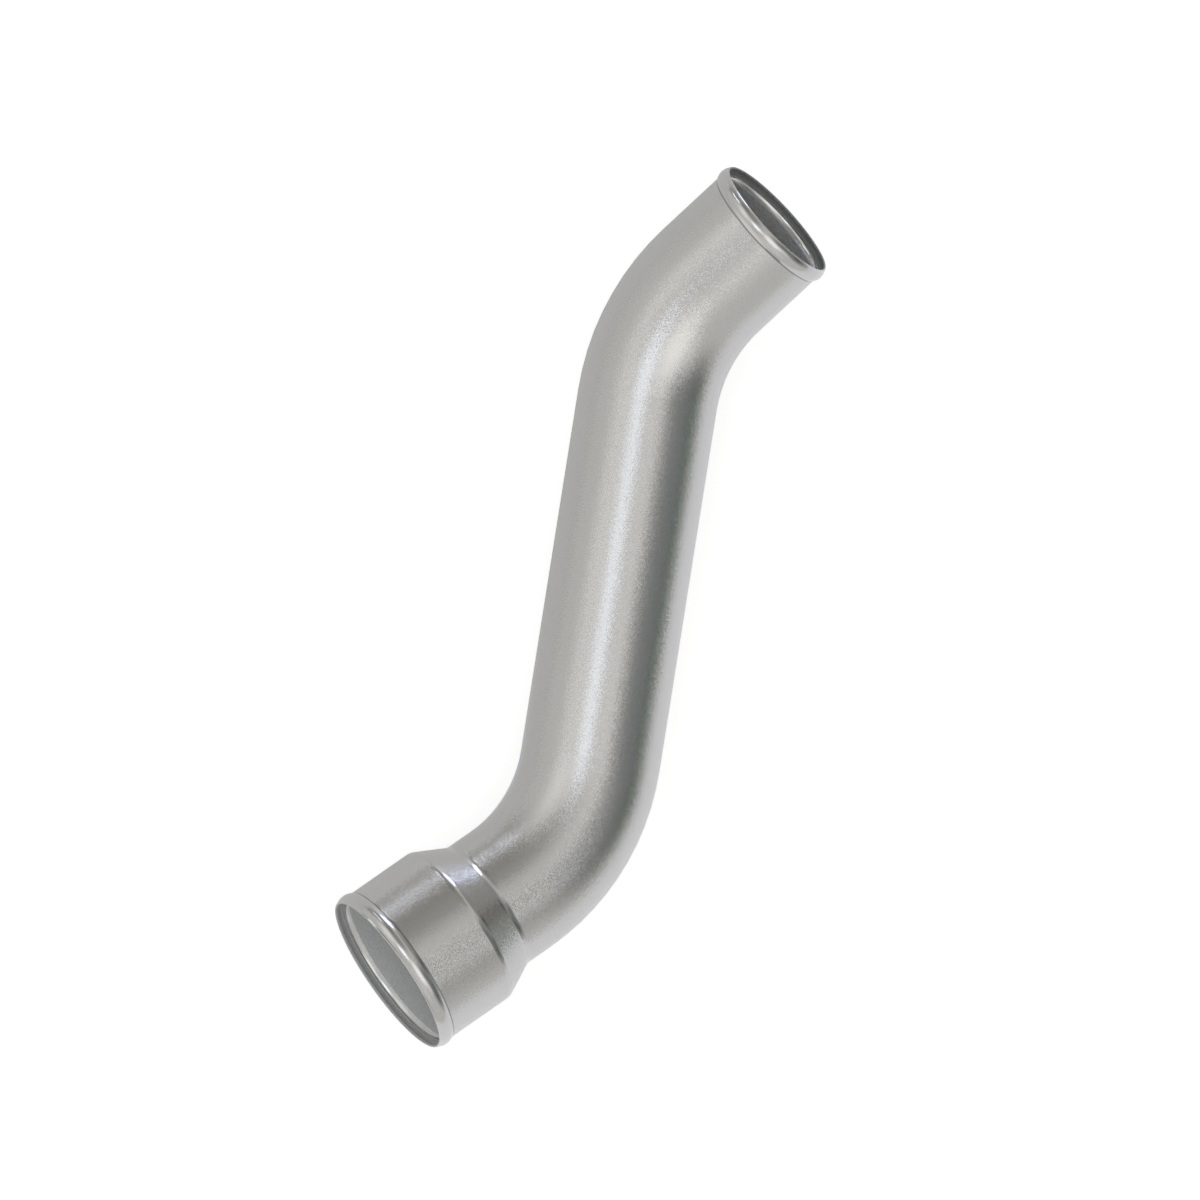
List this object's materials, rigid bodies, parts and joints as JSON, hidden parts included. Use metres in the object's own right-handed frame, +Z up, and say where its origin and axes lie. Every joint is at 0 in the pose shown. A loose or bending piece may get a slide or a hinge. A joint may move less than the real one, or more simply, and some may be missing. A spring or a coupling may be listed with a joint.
{
  "type": "air cleaner tube",
  "caption": "Bent metal intake tube with two bends in different planes, a cone opening to a wider cuff at one end, and a rolled hose bead at each mouth.",
  "frame": {"origin": "on the floor, under the middle of the tube's box, with the tube lying as it comes to rest", "axes": "+X along the middle run, from the cuff's end to the small end; +Z up from the floor"},
  "size_m": [0.6652, 0.2777, 0.1369],
  "materials": {
    "tube_metal": "satin, fine even grain, bare metal"
  },
  "bodies": {
    "root": {"air_cleaner_tube": "tube_metal"}
  },
  "joints": []
}
